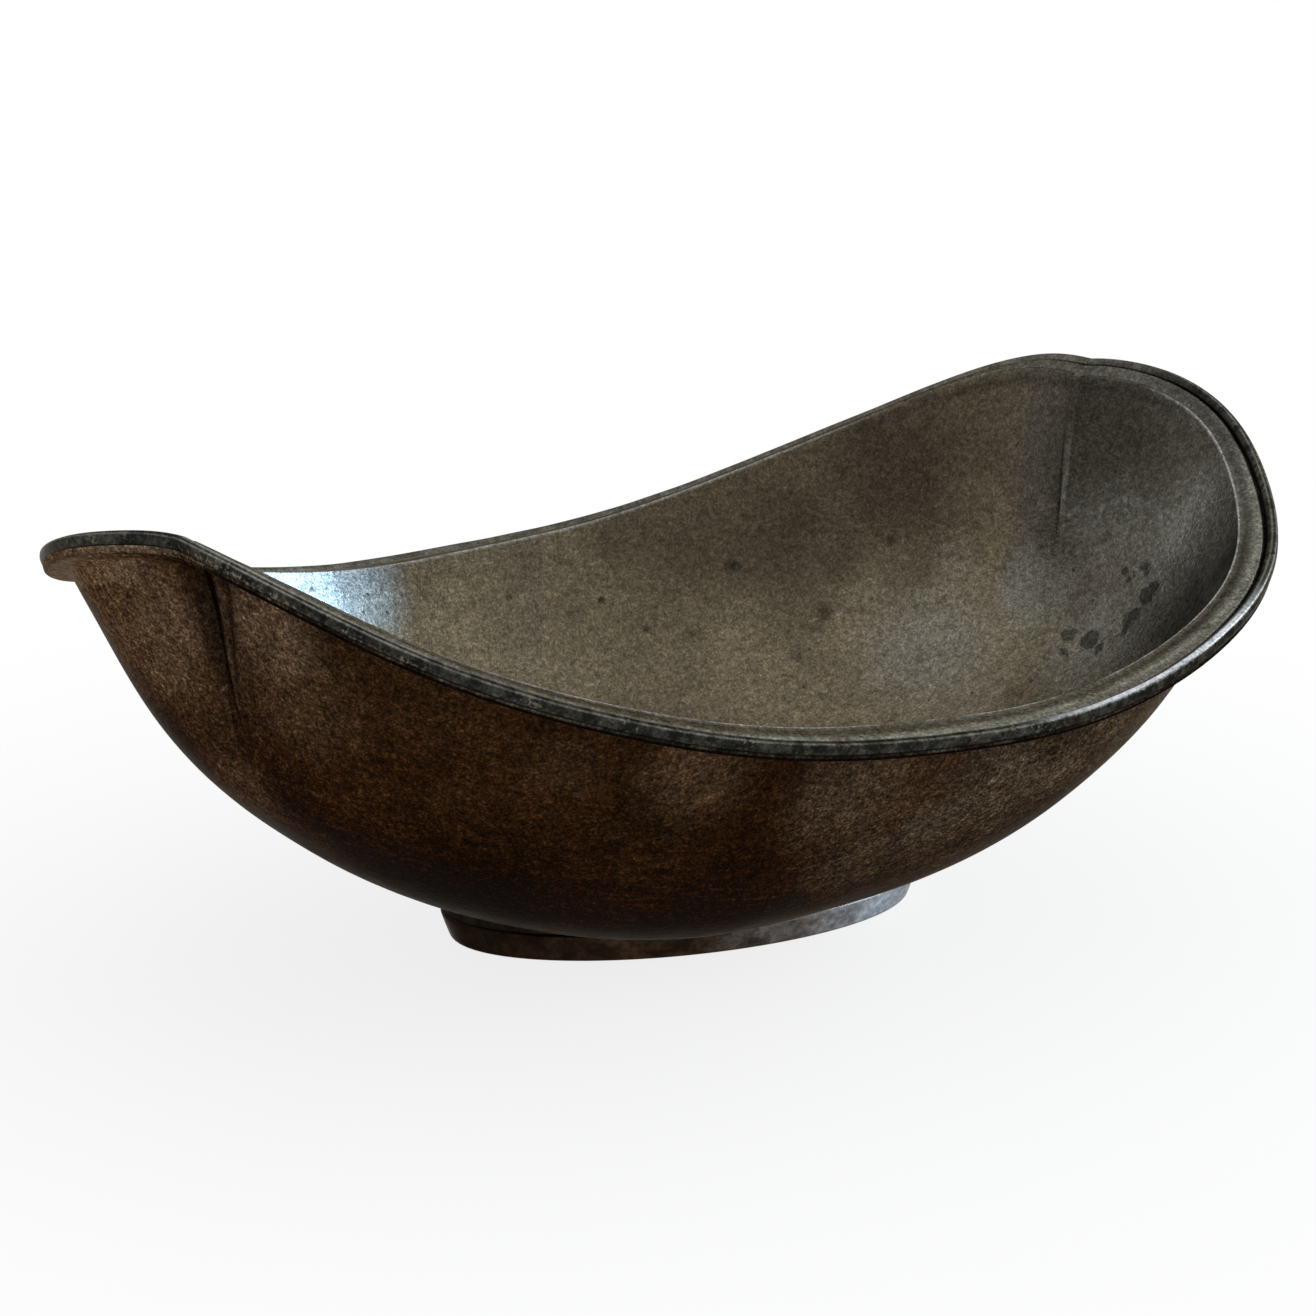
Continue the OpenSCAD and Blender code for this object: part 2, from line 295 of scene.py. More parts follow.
def bowl_marks(c, q, section, inner_row, flange_row, pleat_painted_shade, pleat_painted_light):
    """What the bowl's finish reads at each point, with the middle of the outside and then of the
    inside at the end. Distances are in mm: in from the lip's edge, down from it, and out from the
    low ridge. quiet is 1 near the creases, where the flange's lines fade."""
    def spread(value, *middle):
        return np.append(np.broadcast_to(value, section.shape[:2]).ravel(), middle or (0, 0))

    col = lambda v: v[:, None]
    quiet = np.maximum(1 - ease((c["s"] - 0.10) / 0.12), ease((c["s"] - 0.92) / 0.05))
    return {
        "inner": spread(inner_row * 1.0, 0, 1),
        "share": spread(q),
        "from_edge": spread(col(c["r"]) - section[..., 0], 50, 50),
        "drop": spread(col(c["z"]) - section[..., 1], 50, 50),
        "from_kink": spread(section[..., 0] - col(c["r"] - c["w"]), -50, -50),
        "top_side": spread(flange_row * 1.0),
        "quiet": spread(col(quiet)),
        "pleat_painted_shade": spread(pleat_painted_shade),
        "pleat_painted_light": spread(pleat_painted_light),
    }


def bowl_body():
    """Outside wall from the middle out, the flange, and the inside wall back to the middle, with
    the creases' relief and a hammered unevenness of a twentieth of a millimetre raised on it."""
    c = lips()
    n = 2 * LIP_COLUMNS
    q_out = np.r_[np.linspace(0.02, 0.60, 24), np.linspace(0.62, 0.98, 34)]
    q_in = q_out[::-1]
    rim = flange_section(c)
    section = np.concatenate([wall_at(c, q_out), rim, inside_at(c, q_in)], 1)
    rows, low, steps = section.shape[1], len(q_out), rim.shape[1]
    q = np.concatenate([q_out, np.ones(steps), q_in])
    outside, inside = pleats(c, q)
    # under the flange the pleat carries on a little way, then stops short of the wire's seat
    under = np.arange(rows)
    out_live = np.clip(1 - (under - low) / 14, 0, 1) * (under < low + 14)
    in_live = np.clip(1 - (low + steps - 1 - under) / 5, 0, 1) * (under > low + steps - 6)
    relief = outside[0] * out_live + inside[0] * in_live
    turn, wall_only = c["turn"][:, None], np.where(q < 1, ease((q - 0.08) / 0.2), 0)[None]
    wave = (np.sin(5 * turn + 14 * q) * np.cos(9 * turn - 23 * q)
            + 0.6 * np.sin(13 * turn - 31 * q + 1.3) * np.cos(4 * turn + 17 * q))
    relief = relief + 0.05 * wave * wall_only * ease((0.985 - q[None]) / 0.03)
    points = place(swell(section, relief)).reshape(-1, 3)
    ends = np.array([[0, 0, BOTTOM], [0, 0, BOTTOM + WALL]]) / 1000
    first = np.arange(n) * rows
    after = np.roll(first, -1)
    tip = len(points)
    fans = [np.stack([np.full(n, tip), after, first], 1),
            np.stack([np.full(n, tip + 1), first + rows - 1, after + rows - 1], 1)]
    # painted shade and painted light of the creases
    pleat_painted_shade = outside[1] * out_live + inside[1] * in_live
    pleat_painted_light = outside[2] * out_live + inside[2] * in_live
    flange_row = (under > low + 38) & (under < low + steps - 4)
    marks = bowl_marks(c, q, section, under >= low + steps // 2, flange_row, pleat_painted_shade, pleat_painted_light)
    return make_piece("bowl_body_skin", np.vstack([points, ends]),
                      grid_faces(n, rows, True, False, False), fans, marks)


def rim_wire(name, first):
    """Wire of one lip: its rounded section carried from crease to crease, capped at both, with
    the small dents and flats of use worn into it."""
    n = LIP_COLUMNS
    pick = (np.arange(n + 1) + first * n) % (2 * n)
    c = {k: v[pick] for k, v in lips().items()}
    r, z, s = c["r"], c["z"], c["s"]
    top = 0.035 * (1 + np.sin(41 * s + 2 * first)) * (1 + np.sin(97 * s)) / 2
    side = 0.03 * (1 + np.sin(57 * s + first)) * (1 + np.cos(123 * s)) / 2
    key = corners(
        c["turn"],
        (r - 0.3, z - WIRE_H), (r - WIRE_W, z - 0.62 * WIRE_H), (r - WIRE_W, z - 0.38 * WIRE_H),
        (r - 0.84 * WIRE_W, z - 0.12 * WIRE_H - top), (r - 0.56 * WIRE_W, z - top),
        (r - 0.28 * WIRE_W, z - 0.03 * WIRE_H - top),
        (r - 0.07 * WIRE_W - side, z - 0.16 * WIRE_H - top),
        (r - side, z - 0.38 * WIRE_H), (r - side, z - 0.7 * WIRE_H), (r - 0.3, z - WIRE_H))
    section = soften(key, [0, 0.1, 0.2, 0.3, 0.3, 0.3, 0.3, 0.3, 0.3, 0], 4)[:, :-1]
    rows = section.shape[1]
    ring = np.arange(rows)
    caps = [ring[::-1][None], (n * rows + ring)[None]]
    every = np.ones((1, rows))
    marks = {
        "across": (section[..., 0] - r[:, None]) / WIRE_W + 1,
        "up": (section[..., 1] - z[:, None]) / WIRE_H + 1,
        "pale_top": (np.maximum(first * (1 - ease((s - 0.66) / 0.08)),
                                (1 - first) * 0.8 * ease((s - 0.93) / 0.05)))[:, None] * every,
        # where the front lip is polished and a highlight is painted on it
        "polish_and_highlight": (1 - first) * (ease((s - 0.54) / 0.09) * (1 - ease((s - 0.71) / 0.06)))[:, None] * every,
        "rubbed": (1 - first) * (1 - ease((s - 0.08) / 0.12))[:, None] * every,
    }
    return make_piece(name, place(section), grid_faces(n + 1, rows, False, True, True), caps, marks)


def foot_ring():
    """Oval ring: a flared wall with a rounded lower edge, a flat base and a plain inside."""
    n = 360
    turn = np.radians(np.arange(n) * 360 / n)
    at = lambda grow, z: (oval_radius(grow, turn), z)
    key = corners(
        turn,
        at(FLARE - FOOT_WALL, FOOT_H), at(FLARE - 0.35, FOOT_H), at(FLARE, FOOT_H - 0.5),
        at(0.6 * FLARE, 0.6 * FOOT_H), at(0, 1), at(-0.25, 0.35), at(-0.7, 0),
        at(0.4 - FOOT_WALL, 0), at(0.1 - FOOT_WALL, 0.3), at(FLARE - FOOT_WALL, FOOT_H))
    section = soften(key, [0, 0.1, 0.3, 0.9, 0.3, 0.3, 0.3, 0.15, 0.2, 0], 5)[:, :-1]
    marks = {"height": section[..., 1] / FOOT_H}
    return make_piece("foot_ring_skin", place(section),
                      grid_faces(n, section.shape[1], True, True, True), marks=marks)


def foot_solder():
    """Band between the ring's flat top and the rising bottom of the bowl, a little waisted."""
    c = lips()
    turn = c["turn"]
    share = lambda grow: (oval_radius(grow, turn) / plain_oval(turn))[:, None]
    top_in, top_out = wall_at(c, share(FLARE - FOOT_WALL)), wall_at(c, share(FLARE))
    key = np.concatenate([
        top_in, top_out,
        corners(turn, (oval_radius(FLARE - 0.3, turn), 0.5 * (top_out[:, 0, 1] + FOOT_H)),
                (oval_radius(FLARE - 0.35, turn), FOOT_H),
                (oval_radius(FLARE - FOOT_WALL, turn), FOOT_H)),
        top_in], 1)
    section = soften(key, [0, 0.05, 0.3, 0.05, 0.05, 0], 4)[:, :-1]
    return make_piece("foot_solder_skin", place(section),
                      grid_faces(2 * LIP_COLUMNS, section.shape[1], True, True, True))


# ---- materials --------------------------------------------------------------------------------
class Wire:
    """A socket in a material, with Python's operators standing for Math nodes."""

    def __init__(self, finish, socket):
        self.finish, self.socket = finish, socket

    def math(self, kind, *others):
        return self.finish.add("ShaderNodeMath", {"operation": kind}, [self, *others])

    def __add__(self, o): return self.math("ADD", o)
    __radd__ = __add__
    def __mul__(self, o): return self.math("MULTIPLY", o)
    __rmul__ = __mul__
    def __sub__(self, o): return self.math("SUBTRACT", o)
    def __rsub__(self, o): return self.finish.add("ShaderNodeMath", {"operation": "SUBTRACT"}, [o, self])
    def __truediv__(self, o): return self.math("DIVIDE", o)
    def __gt__(self, o): return self.math("GREATER_THAN", o)

    def either(self, o): return self.math("MAXIMUM", o)

    def band(self, middle, half):
        """1 at the middle value, falling to 0 at half either side."""
        off = self.math("SUBTRACT", middle).math("ABSOLUTE") / half
        return self.finish.add("ShaderNodeMath", {"operation": "SUBTRACT", "use_clamp": True}, [1, off])

    def step(self, low, high):
        """Smooth step from 0 at low to 1 at high, or the other way about where high is lower."""
        if high < low:
            return 1 - self.step(high, low)
        return self.finish.add("ShaderNodeMapRange", {"interpolation_type": "SMOOTHSTEP"},
                               {"Value": self, "From Min": low, "From Max": high})


class Finish:
    """A Principled material and the nodes that feed it."""

    def __init__(self, name):
        self.material = bpy.data.materials.new(name)
        self.material.use_nodes = True
        self.nodes, self.links = self.material.node_tree.nodes, self.material.node_tree.links
        self.shader = self.nodes["Principled BSDF"]
        self.place = self.add("ShaderNodeTexCoord", {}, {}, "Object")

    def add(self, kind, settings, values, out=0):
        node = self.nodes.new(kind)
        for key, value in settings.items():
            setattr(node, key, value)
        pairs = values.items() if isinstance(values, dict) else enumerate(values)
        for key, value in pairs:
            if isinstance(value, Wire):
                self.links.new(value.socket, node.inputs[key])
            else:
                node.inputs[key].default_value = value
        return Wire(self, node.outputs[out])

    def mark(self, name):
        return self.add("ShaderNodeAttribute", {"attribute_name": name}, {}, "Fac")

    def along(self, axis):
        """The object's own coordinate along X, Y or Z, in metres."""
        return self.add("ShaderNodeSeparateXYZ", {}, [self.place], axis)

    def noise(self, per_m, detail=4, rough=0.55, stretch=None, at=(0, 0, 0), out="Fac"):
        where = self.place
        if stretch or any(at):
            where = self.add("ShaderNodeMapping", {}, {"Vector": where, "Location": at,
                                                        "Scale": stretch or (1, 1, 1)})
        return self.add("ShaderNodeTexNoise", {"noise_type": "FBM"},
                        {"Vector": where, "Scale": per_m, "Detail": detail, "Roughness": rough}, out)

    def cells(self, per_m, at=(0, 0, 0)):
        """Distance to the nearest of a scatter of points, in cell sizes."""
        where = self.add("ShaderNodeMapping", {}, {"Vector": self.place, "Location": at})
        return self.add("ShaderNodeTexVoronoi", {"feature": "F1"},
                        {"Vector": where, "Scale": per_m}, "Distance")

    def blend(self, share, a, b):
        wrap = lambda v: v if isinstance(v, Wire) else (*v, 1.0)
        node = self.add("ShaderNodeMix", {"data_type": "RGBA", "clamp_factor": True}, {})
        mix = node.socket.node
        for slot, value in ((0, share), (6, wrap(a)), (7, wrap(b))):
            if isinstance(value, Wire):
                self.links.new(value.socket, mix.inputs[slot])
            else:
                mix.inputs[slot].default_value = value
        return Wire(self, mix.outputs[2])

    def times(self, colour, factor):
        """The colour made lighter or darker by a factor that varies over the surface."""
        node = self.add("ShaderNodeMix", {"data_type": "RGBA", "blend_type": "MULTIPLY",
                                          "clamp_result": False}, {})
        mix = node.socket.node
        mix.inputs[0].default_value = 1.0
        self.links.new(colour.socket, mix.inputs[6])
        self.links.new(factor.socket, mix.inputs[7])
        return Wire(self, mix.outputs[2])

    def wander(self, per_m, mm):
        """The object's coordinates, pushed about by a noise of so many mm."""
        push = self.noise(per_m, 3, 0.6, out="Color")
        centred = self.add("ShaderNodeVectorMath", {"operation": "SUBTRACT"}, [push, (0.5, 0.5, 0.5)])
        scaled = self.add("ShaderNodeVectorMath", {"operation": "SCALE"},
                          {0: centred, "Scale": 2 * mm / 1000})
        return self.add("ShaderNodeVectorMath", {"operation": "ADD"}, [self.place, scaled])

    def spots(self, where, marks):
        """The most of several soft balls: (x, y, z, radius, strength) in mm."""
        total = None
        for x, y, z, radius, strength in marks:
            off = self.add("ShaderNodeVectorMath", {"operation": "DISTANCE"},
                           [where, (x / 1000, y / 1000, z / 1000)], "Value")
            one = off.step(radius / 1000, 0.25 * radius / 1000) * strength
            total = one if total is None else total.either(one)
        return total

    def done(self, colour, rough, bump=None, metallic=0.8, strength=0.3, depth=0.001, edge=None):
        put = {"Base Color": colour, "Roughness": rough, "Metallic": metallic,
               "Specular IOR Level": 0.3}
        if edge:
            put["Specular Tint"] = (*edge, 1.0)
        for key, value in put.items():
            if isinstance(value, Wire):
                self.links.new(value.socket, self.shader.inputs[key])
            else:
                self.shader.inputs[key].default_value = value
        if bump is not None:
            normal = self.add("ShaderNodeBump", {}, {"Height": bump, "Strength": strength,
                                                     "Distance": depth}, "Normal")
            self.links.new(normal.socket, self.shader.inputs["Normal"])
        return self.material


# where stains, tones, painted shade and painted light lie on the bowl, in mm: x, y, z, radius, strength
INSIDE_PITS = [(-14.6, 51.4, 39.6, 0.9, 1), (2.1, 52.6, 37.3, 0.9, 1), (9.8, 51.0, 31.8, 1.0, 0.8),
               (26.2, 54.2, 40.9, 1.5, 0.7), (28.6, 53.2, 37.4, 1.2, 0.6), (41.1, 47.0, 33.4, 2.2, 0.7),
               (53.8, 47.1, 45.2, 1.4, 0.9), (-8.5, 51.0, 35.0, 0.8, 0.8), (18.2, 50.2, 30.5, 1.1, 0.6),
               (82.3, 10.7, 45.7, 1.0, 1), (84.0, 7.5, 47.6, 1.2, 1), (-50.2, 44.8, 46.0, 0.8, 1)]
INSIDE_BLOTCHES = [(82.3, 4.4, 43.8, 2.7, 1), (83.2, 3.6, 45.4, 2.1, 0.9), (80.4, 4.7, 40.9, 2.5, 1),
                   (79.5, 4.8, 39.3, 2.0, 0.8), (82.1, 11.9, 46.0, 1.4, 0.9), (84.2, 7.7, 48.2, 1.6, 0.7),
                   (83.3, 9.6, 46.8, 1.1, 0.8), (75.5, 10.6, 35.6, 2.8, 0.9), (75.7, 7.2, 35.0, 2.0, 0.8),
                   (74.0, 15.2, 35.3, 2.4, 0.65), (72.5, 13.5, 32.0, 2.2, 0.65),
                   (67.0, 15.0, 28.0, 2.0, 0.5), (35.0, 44.4, 26.7, 2.6, 0.4),
                   (34.4, 40.0, 21.8, 2.8, 0.45), (28.0, 54.2, 41.0, 1.8, 0.5)]
# painted shade: darker fields up the far wall and at the +X end, where the metal would reflect a dark room
INSIDE_PAINTED_SHADE = [(56, 50, 56, 20, 0.85), (84, 24, 68, 17, 0.75), (42, 52, 44, 17, 0.7),
                 (-60, -44, 50, 16, 0.5), (66, 42, 60, 9, 0.4), (75, 21, 40, 10, 0.4),
                 (54, 45, 41, 12, 0.4), (37, 49, 34, 12, 0.45)]
# painted light: lighter fields where the wall would lie in reflected shade, most of all on the +X end's
# lobe
INSIDE_PAINTED_LIGHT = [(56, 33, 29, 17, 0.8), (72, 26, 40, 11, 1), (62, 39, 43, 6, 0.4), (87, -5, 54, 22, 1),
                 (75, 8, 34, 16, 0.7), (79, -16, 44, 16, 0.6), (82, 19, 54, 12, 0.35),
                 (58, 23, 24, 12, 0.4), (30, -47, 36, 24, 0.6)]
# painted light, paler still: the steep wall at the +X end, which would reflect the darker wall opposite
INSIDE_PAINTED_PALE = [(90, -6, 57, 19, 1), (82, -20, 50, 12, 0.8)]
INSIDE_WARM = [(-17, 49, 36, 26, 1), (-6, 54, 45, 13, 1), (1, 50.5, 32, 20, 0.75),
               (27, 45, 24, 22, 0.6), (-33, 46, 32, 20, 0.6)]
INSIDE_SALTS = [(84.5, 8, 51, 15, 1), (70, 27, 37, 7, 1), (80, 28, 68, 4, 1)]
# painted reflection of the window, bluish white, on the far wall near the -X end
INSIDE_PAINTED_WINDOW = [(-52, 43.5, 46, 14, 1), (-45, 46, 43, 15, 0.45)]
# small ones are dark pits; the large ones low down near the foot are painted shade
OUTSIDE_DARK = [(-44, -43, 24, 20, 0.8), (-89.4, -22.5, 67.8, 1.1, 0.9), (-52.2, -56, 58.1, 1.1, 0.9),
                (-59.4, -47.3, 48.4, 1.2, 0.9), (-82.5, -30.5, 70.5, 1.0, 0.8),
                (-75.3, -31.6, 50.9, 1.2, 1), (42, -46, 41, 5, 0.4), (29, -50, 38, 5, 0.5),
                (50, 40, 26, 16, 0.6), (-24, -55, 37, 11, 0.6)]
OUTSIDE_BROWN = [(-89, -20, 62, 27, 1), (-71, -40, 58, 17, 0.7), (-17, -58, 45, 12, 0.75),
                 (14, -53, 38, 19, 0.5), (86, 24, 60, 27, 0.9), (15, 57, 43, 17, 0.7),
                 (-36, -58, 49, 8, 0.25), (-67, -27, 31, 9, 0.35)]
# tan tone, partly painted light on the +X side, which faces the window
OUTSIDE_TAN = [(36, -46, 32, 19, 0.8), (8, -53, 37, 15, 0.3), (29, -39, 21, 16, 0.4),
               (62, -38, 42, 24, 1), (-52, 42, 40, 20, 0.7), (13, -45, 24, 13, 0.55),
               (25, -45, 28, 12, 0.85), (47, -42, 34, 11, 1)]
# pale tone on the -X tongue; the first spot is painted light against the shade under the tip's flange
OUTSIDE_PALE = [(-91, -23, 74, 10, 0.6), (-89, -17, 60, 15, 0.9), (-95, -12, 69, 8, 0.9),
                (-74, -43, 67, 11, 0.75), (-84, -27, 65, 9, 0.5), (-75, -22, 37, 12, 0.55)]


class BowlFinish(Finish):
    """Aged pewter of the bowl: the marks on its skin, and the noises that its tones share."""

    def __init__(self):
        super().__init__("aged_pewter_bowl")
        self.inner, self.share, self.top = self.mark("inner"), self.mark("share"), self.mark("top_side")
        self.from_edge, self.from_kink = self.mark("from_edge"), self.mark("from_kink")
        self.quiet, self.drop = self.mark("quiet"), self.mark("drop")
        self.clouds = self.noise(26, 5, 0.62)
        self.haze = self.noise(48, 5, 0.66, at=(0.9, 0.4, 0.1))
        self.mottle = self.noise(170, 5, 0.7, at=(0.3, 0.1, 0.2))
        self.grain = self.noise(1000, 3, 0.7)
        self.fine = self.noise(2600, 2, 0.5)
        self.brush = self.noise(420, 3, 0.7, stretch=(0.35, 1, 1.6), at=(0.2, 0.6, 0.1))
        self.wandering, self.rippled = self.wander(170, 2.4), self.wander(600, 0.5)
        # where the window's reflection is painted on the inside
        self.bright = self.spots(self.wandering, INSIDE_PAINTED_WINDOW)
        self.groove = self.from_edge.band(2.2, 0.5) * self.inner * (1 - self.quiet * 0.75)
        self.specks = (self.cells(330).step(0.13, 0.06)
                       * self.noise(55, 2, 0.5, at=(0.7, 0.2, 0.5)).step(0.54, 0.62))

    def towards_end(self, low, high):
        """0 to 1 between two values of X, the change wandering by some millimetres."""
        return (self.along("X") + (self.haze - 0.5) * 0.03).step(low, high)

    def outside(self):
        """Brown patina, deepened as a painted reflection of a dark table and darker below as painted shade,
        greyer towards the +X end as painted window light, with faint rings left by the hammer.
        """
        f, patches = self, self.clouds.step(0.38, 0.66)
        # the browns are partly patina and partly a painted reflection of a dark table
        skin = f.blend(patches, (0.0145, 0.0058, 0.0018), (0.0275, 0.0122, 0.0044))
        # greyer and lighter towards the +X end: painted light from the window on that side
        skin = f.blend(f.towards_end(-0.005, 0.055) * 0.85, skin,
                       f.blend(patches, (0.0205, 0.0125, 0.0072), (0.0400, 0.0285, 0.0180)))
        skin = f.blend(f.spots(f.wandering, OUTSIDE_BROWN), skin, (0.058, 0.0340, 0.0180))
        skin = f.blend(f.spots(f.wandering, OUTSIDE_TAN), skin, (0.080, 0.0610, 0.0435))
        skin = f.blend(f.spots(f.wandering, OUTSIDE_PALE), skin, (0.100, 0.0640, 0.0400))
        skin = f.blend(f.spots(f.rippled, OUTSIDE_DARK) * 0.7, skin, (0.0065, 0.0030, 0.0012))
        skin = f.blend(f.mottle.step(0.55, 0.72) * 0.45, skin, (0.0100, 0.0060, 0.0030))
        rings = f.share.band(0.800, 0.0035).either(f.share.band(0.842, 0.003))
        rings = rings.either(f.share.band(0.772, 0.003)) * f.haze.step(0.42, 0.6)
        return f.blend(rings * 0.25, skin, (0.070, 0.050, 0.030))

    def inside(self):
        """Olive grey, darker up the wall as painted shade and greyer at the +X end, in soft fields of
        painted light and painted shade, with the window's reflection painted at the -X end.
        """
        f = self
        # darker up the wall: painted shade, where the wall would reflect a dark room
        rising = (f.share + (f.haze - 0.5) * 0.25).step(0.80, 0.96)
        skin = f.blend(rising, (0.138, 0.114, 0.076), (0.072, 0.057, 0.037))
        skin = f.blend(f.towards_end(0.066, 0.080) * 0.8, skin,
                       f.blend(rising, (0.108, 0.106, 0.093), (0.061, 0.058, 0.050)))
        skin = f.blend(f.clouds.step(0.50, 0.68) * 0.5, skin, (0.068, 0.053, 0.034))
        skin = f.blend(f.spots(f.wandering, INSIDE_WARM) * 0.75, skin, (0.130, 0.107, 0.068))
        # painted light in the lighter fields
        skin = f.blend(f.spots(f.wandering, INSIDE_PAINTED_LIGHT) * 0.7, skin, (0.152, 0.148, 0.127))
        # painted light, paler still, on the +X end's steep wall
        skin = f.blend(f.spots(f.wandering, INSIDE_PAINTED_PALE) * 0.6, skin, (0.215, 0.212, 0.190))
        # painted shade in the darker fields
        skin = f.blend(f.spots(f.wandering, INSIDE_PAINTED_SHADE) * 0.72, skin, (0.020, 0.0170, 0.0120))
        skin = f.blend(f.mottle.step(0.53, 0.68) * 0.5, skin, (0.044, 0.035, 0.024))
        # the window's reflection painted bluish white on the far wall near the -X end
        return f.blend(f.bright * 0.9, skin, (0.295, 0.405, 0.490))

    def stains(self, skin):
        """Dark blotches and pits, a pale tide line round the blotches, and a faint upright change
        of tone on the back wall."""
        f = self
        stain = f.spots(f.wandering, INSIDE_BLOTCHES) + (f.mottle - 0.5) * 1.9 + (f.grain - 0.5) * 0.8
        skin = f.blend(stain.step(0.34, 0.56) * 0.70, skin, (0.0150, 0.0150, 0.0137))
        skin = f.blend(f.spots(f.rippled, INSIDE_PITS) * 0.75, skin, (0.014, 0.010, 0.007))
        tide = f.add("ShaderNodeVectorMath", {"operation": "DISTANCE"},
                     [f.wander(75, 6.0), (0.0845, 0.0185, 0.046)], "Value").band(0.0115, 0.0007)
        tide = tide * f.along("Z").step(0.052, 0.056) * f.mottle.step(0.42, 0.52)
        skin = f.blend(tide * 0.5, skin, (0.15, 0.15, 0.138))
        upright = (f.add("ShaderNodeVectorMath", {"operation": "DOT_PRODUCT"},
                         [f.wander(40, 0.4), (0.964, -0.265, 0.0)], "Value") + 0.022)
        upright = upright.step(0.0004, -0.0004) * upright.step(-0.012, 0.0)
        upright = upright * f.share.step(0.84, 0.90) * (f.along("Y") > 0.0)
        return f.blend(upright * 0.35, skin, (0.060, 0.056, 0.046))

    def flange(self, skin):
        """A pale band towards the groove, partly wear and partly painted light, a darker one by the low
        ridge as painted shade, the ridge itself bright, partly wear and partly painted highlight, a
        painted shadow below it near the creases, and the groove dark."""
        f = self
        skin = f.blend(f.top * 0.55, skin,
                       f.blend(f.quiet, (0.105, 0.102, 0.088), (0.120, 0.117, 0.100)))
        # pale band on the flange's top: partly wear, partly painted light
        pale = f.top * f.from_kink.band(3.4, 1.3) * f.mottle.step(0.34, 0.50)
        skin = f.blend(pale * 0.85, skin, (0.225, 0.224, 0.188))
        # darker band by the low ridge at the +X end: painted shade in the hollow
        dark = f.top * f.from_kink.band(1.3, 1.1) * f.along("X").step(0.045, 0.070)
        skin = f.blend(dark * (0.65 - f.quiet * 0.5), skin, (0.040, 0.037, 0.034))
        # bright line on the ridge: partly wear, partly painted highlight
        ridge = f.from_kink.band(0.10, 0.28) * f.share.step(0.975, 0.99) * f.haze.step(0.34, 0.50)
        skin = f.blend(ridge * (0.85 - f.quiet * 0.75), skin, (0.36, 0.37, 0.36))
        # below the ridge near the creases, on the back lip: painted shadow
        below = f.from_kink.band(-0.55, 0.45) * f.quiet * f.inner * (f.along("Y") > 0.0)
        skin = f.blend(below * 0.6, skin, (0.024, 0.021, 0.018))
        return f.blend(f.groove * (0.20 + 0.60 * f.haze.step(0.44, 0.56)), skin,
                       (0.0125, 0.0122, 0.0112))

    def under_wire(self, skin):
        """The flange's own edge: as dark as the wire above it, with a black line below,
        but worn to a light brown at the -X tip."""
        f = self
        edge = (1 - f.inner) * f.share.step(0.985, 1.0) * f.from_edge.step(1.15, 0.9)
        tip = f.along("X").step(-0.076, -0.088)
        dark = f.blend(f.mottle.step(0.44, 0.60), (0.0090, 0.0075, 0.0055), (0.0330, 0.0285, 0.0205))
        skin = f.blend(edge * 0.9, skin, f.blend(tip, dark, (0.115, 0.078, 0.053)))
        skin = f.blend(edge * f.drop.step(2.40, 2.55) * (1 - tip * 0.85), skin, (0.0042, 0.0018, 0.0012))
        worn_tip = (f.along("X").step(-0.086, -0.095) * (1 - f.inner) * f.share.step(0.990, 0.998)
                    * f.from_edge.step(0.9, 1.15))
        return f.blend(worn_tip * 0.8, skin, (0.150, 0.098, 0.064))

    def creases(self, skin):
        """Painted light on the ridges beside the creases and painted shade in them."""
        f = self
        wear_and_painted_light = f.blend(f.inner, (0.092, 0.069, 0.050), (0.200, 0.195, 0.175))
        crease_shade = f.blend(f.inner, (0.0050, 0.0024, 0.0013), (0.020, 0.017, 0.013))
        return f.blend(f.mark("pleat_painted_shade") * 0.78, f.blend(f.mark("pleat_painted_light") * 0.60, skin, wear_and_painted_light), crease_shade)

    def grained(self, skin):
        """Dark specks, pale salts near the stains, and a fine grain over everything."""
        f = self
        skin = f.blend(f.specks * 0.6, skin, f.blend(f.inner, (0.005, 0.003, 0.002), (0.026, 0.022, 0.017)))
        salts = f.cells(420, (0.4, 0.1, 0.7)).step(0.12, 0.05) * f.spots(f.place, INSIDE_SALTS) * f.inner
        skin = f.blend(salts * 0.5, skin, (0.22, 0.22, 0.21))
        speckle = ((f.grain - 0.5) * 2.2 + (f.fine - 0.5) * 2.4 + (f.mottle - 0.5) * 0.9
                   + (f.brush - 0.5) * 0.7)
        return f.times(skin, (speckle * (1.65 - f.inner * 0.75)).math("EXPONENT"))


def bowl_patina():
    """Olive grey inside, brown and darker outside, with painted light and shade over both, mottled,
    pitted and stained, pale along the flange's ridges from wear and painted highlight, dark in its
    groove, and with painted shade in the creases."""
    f = BowlFinish()
    skin = f.blend(f.inner, f.outside(), f.flange(f.stains(f.inside())))
    skin = f.grained(f.creases(f.under_wire(skin)))
    rough = 0.34 + (f.mottle - 0.5) * 0.25 + (f.haze - 0.5) * 0.2 + (f.fine - 0.5) * 0.08
    rough = rough + (1 - f.inner) * 0.12 - f.bright * 0.06
    bump = (f.mottle * 0.16 + f.grain * 0.34 + f.fine * 0.10 + f.brush * 0.25
            - f.specks * 0.4 - f.groove * 0.2)
    return f.done(skin, rough, bump, metallic=0.93, strength=0.34, depth=0.0006,
                  edge=(0.33, 0.30, 0.25))


